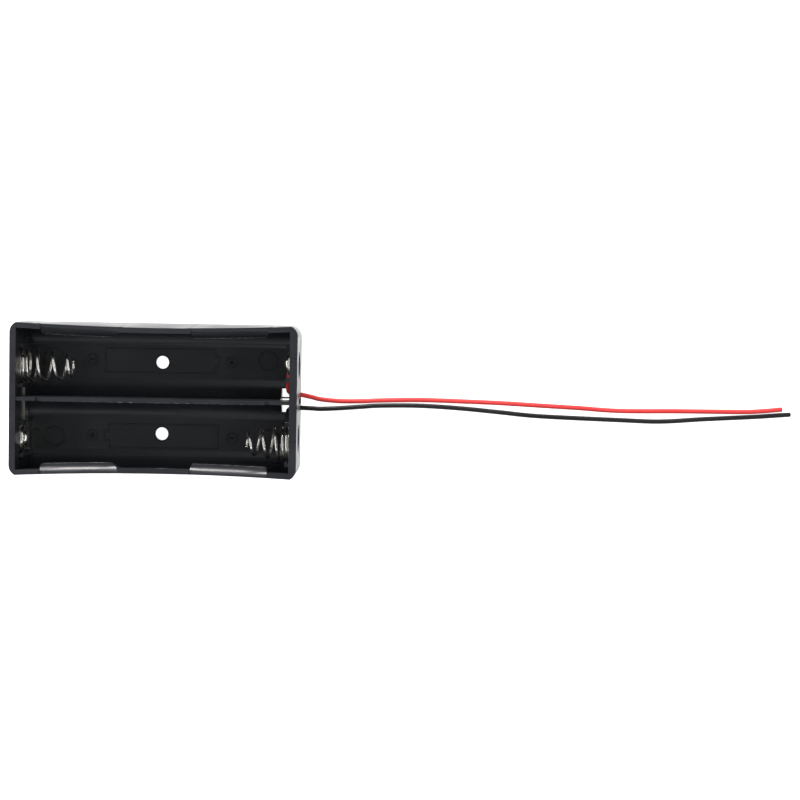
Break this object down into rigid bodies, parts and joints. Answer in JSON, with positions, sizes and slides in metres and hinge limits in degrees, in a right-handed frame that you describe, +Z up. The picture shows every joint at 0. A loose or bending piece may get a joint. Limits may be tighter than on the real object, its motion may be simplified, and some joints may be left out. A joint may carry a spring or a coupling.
{
  "type": "cylindrical cell holder",
  "caption": "Open moulded holder for cylindrical cells side by side, with springs and pressed plates as contacts and a pair of leads leaving one end.",
  "frame": {"origin": "on the base, under the middle of the housing", "axes": "+X along the bays towards the end that the leads leave, +Y across the bays towards the red lead, +Z up out of the open bays"},
  "size_m": [0.2148, 0.042, 0.02],
  "materials": {
    "housing_plastic": "satin",
    "nickel_plate": "bright plated",
    "spring_wire": "bright plated",
    "solder": "bright",
    "red_insulation": "satin",
    "black_insulation": "satin"
  },
  "bodies": {
    "holder": {"housing": "housing_plastic", "series_link": "nickel_plate", "positive_terminal": "nickel_plate", "negative_terminal": "nickel_plate", "positive_solder": "solder", "negative_solder": "solder", "red_lead": "red_insulation", "black_lead": "black_insulation"},
    "link_spring": {"link_spring": "spring_wire"},
    "negative_spring": {"negative_spring": "spring_wire"}
  },
  "joints": [
    {"name": "link_spring_press", "type": "slide", "parent": "holder", "child": "link_spring", "axis": [-1, 0, 0], "range_m": [0, 0.0085], "stiffness_N_per_m": 700, "deforming": ["link_spring"]},
    {"name": "negative_spring_press", "type": "slide", "parent": "holder", "child": "negative_spring", "axis": [1, 0, 0], "range_m": [0, 0.0065], "stiffness_N_per_m": 700, "deforming": ["negative_spring"]}
  ]
}
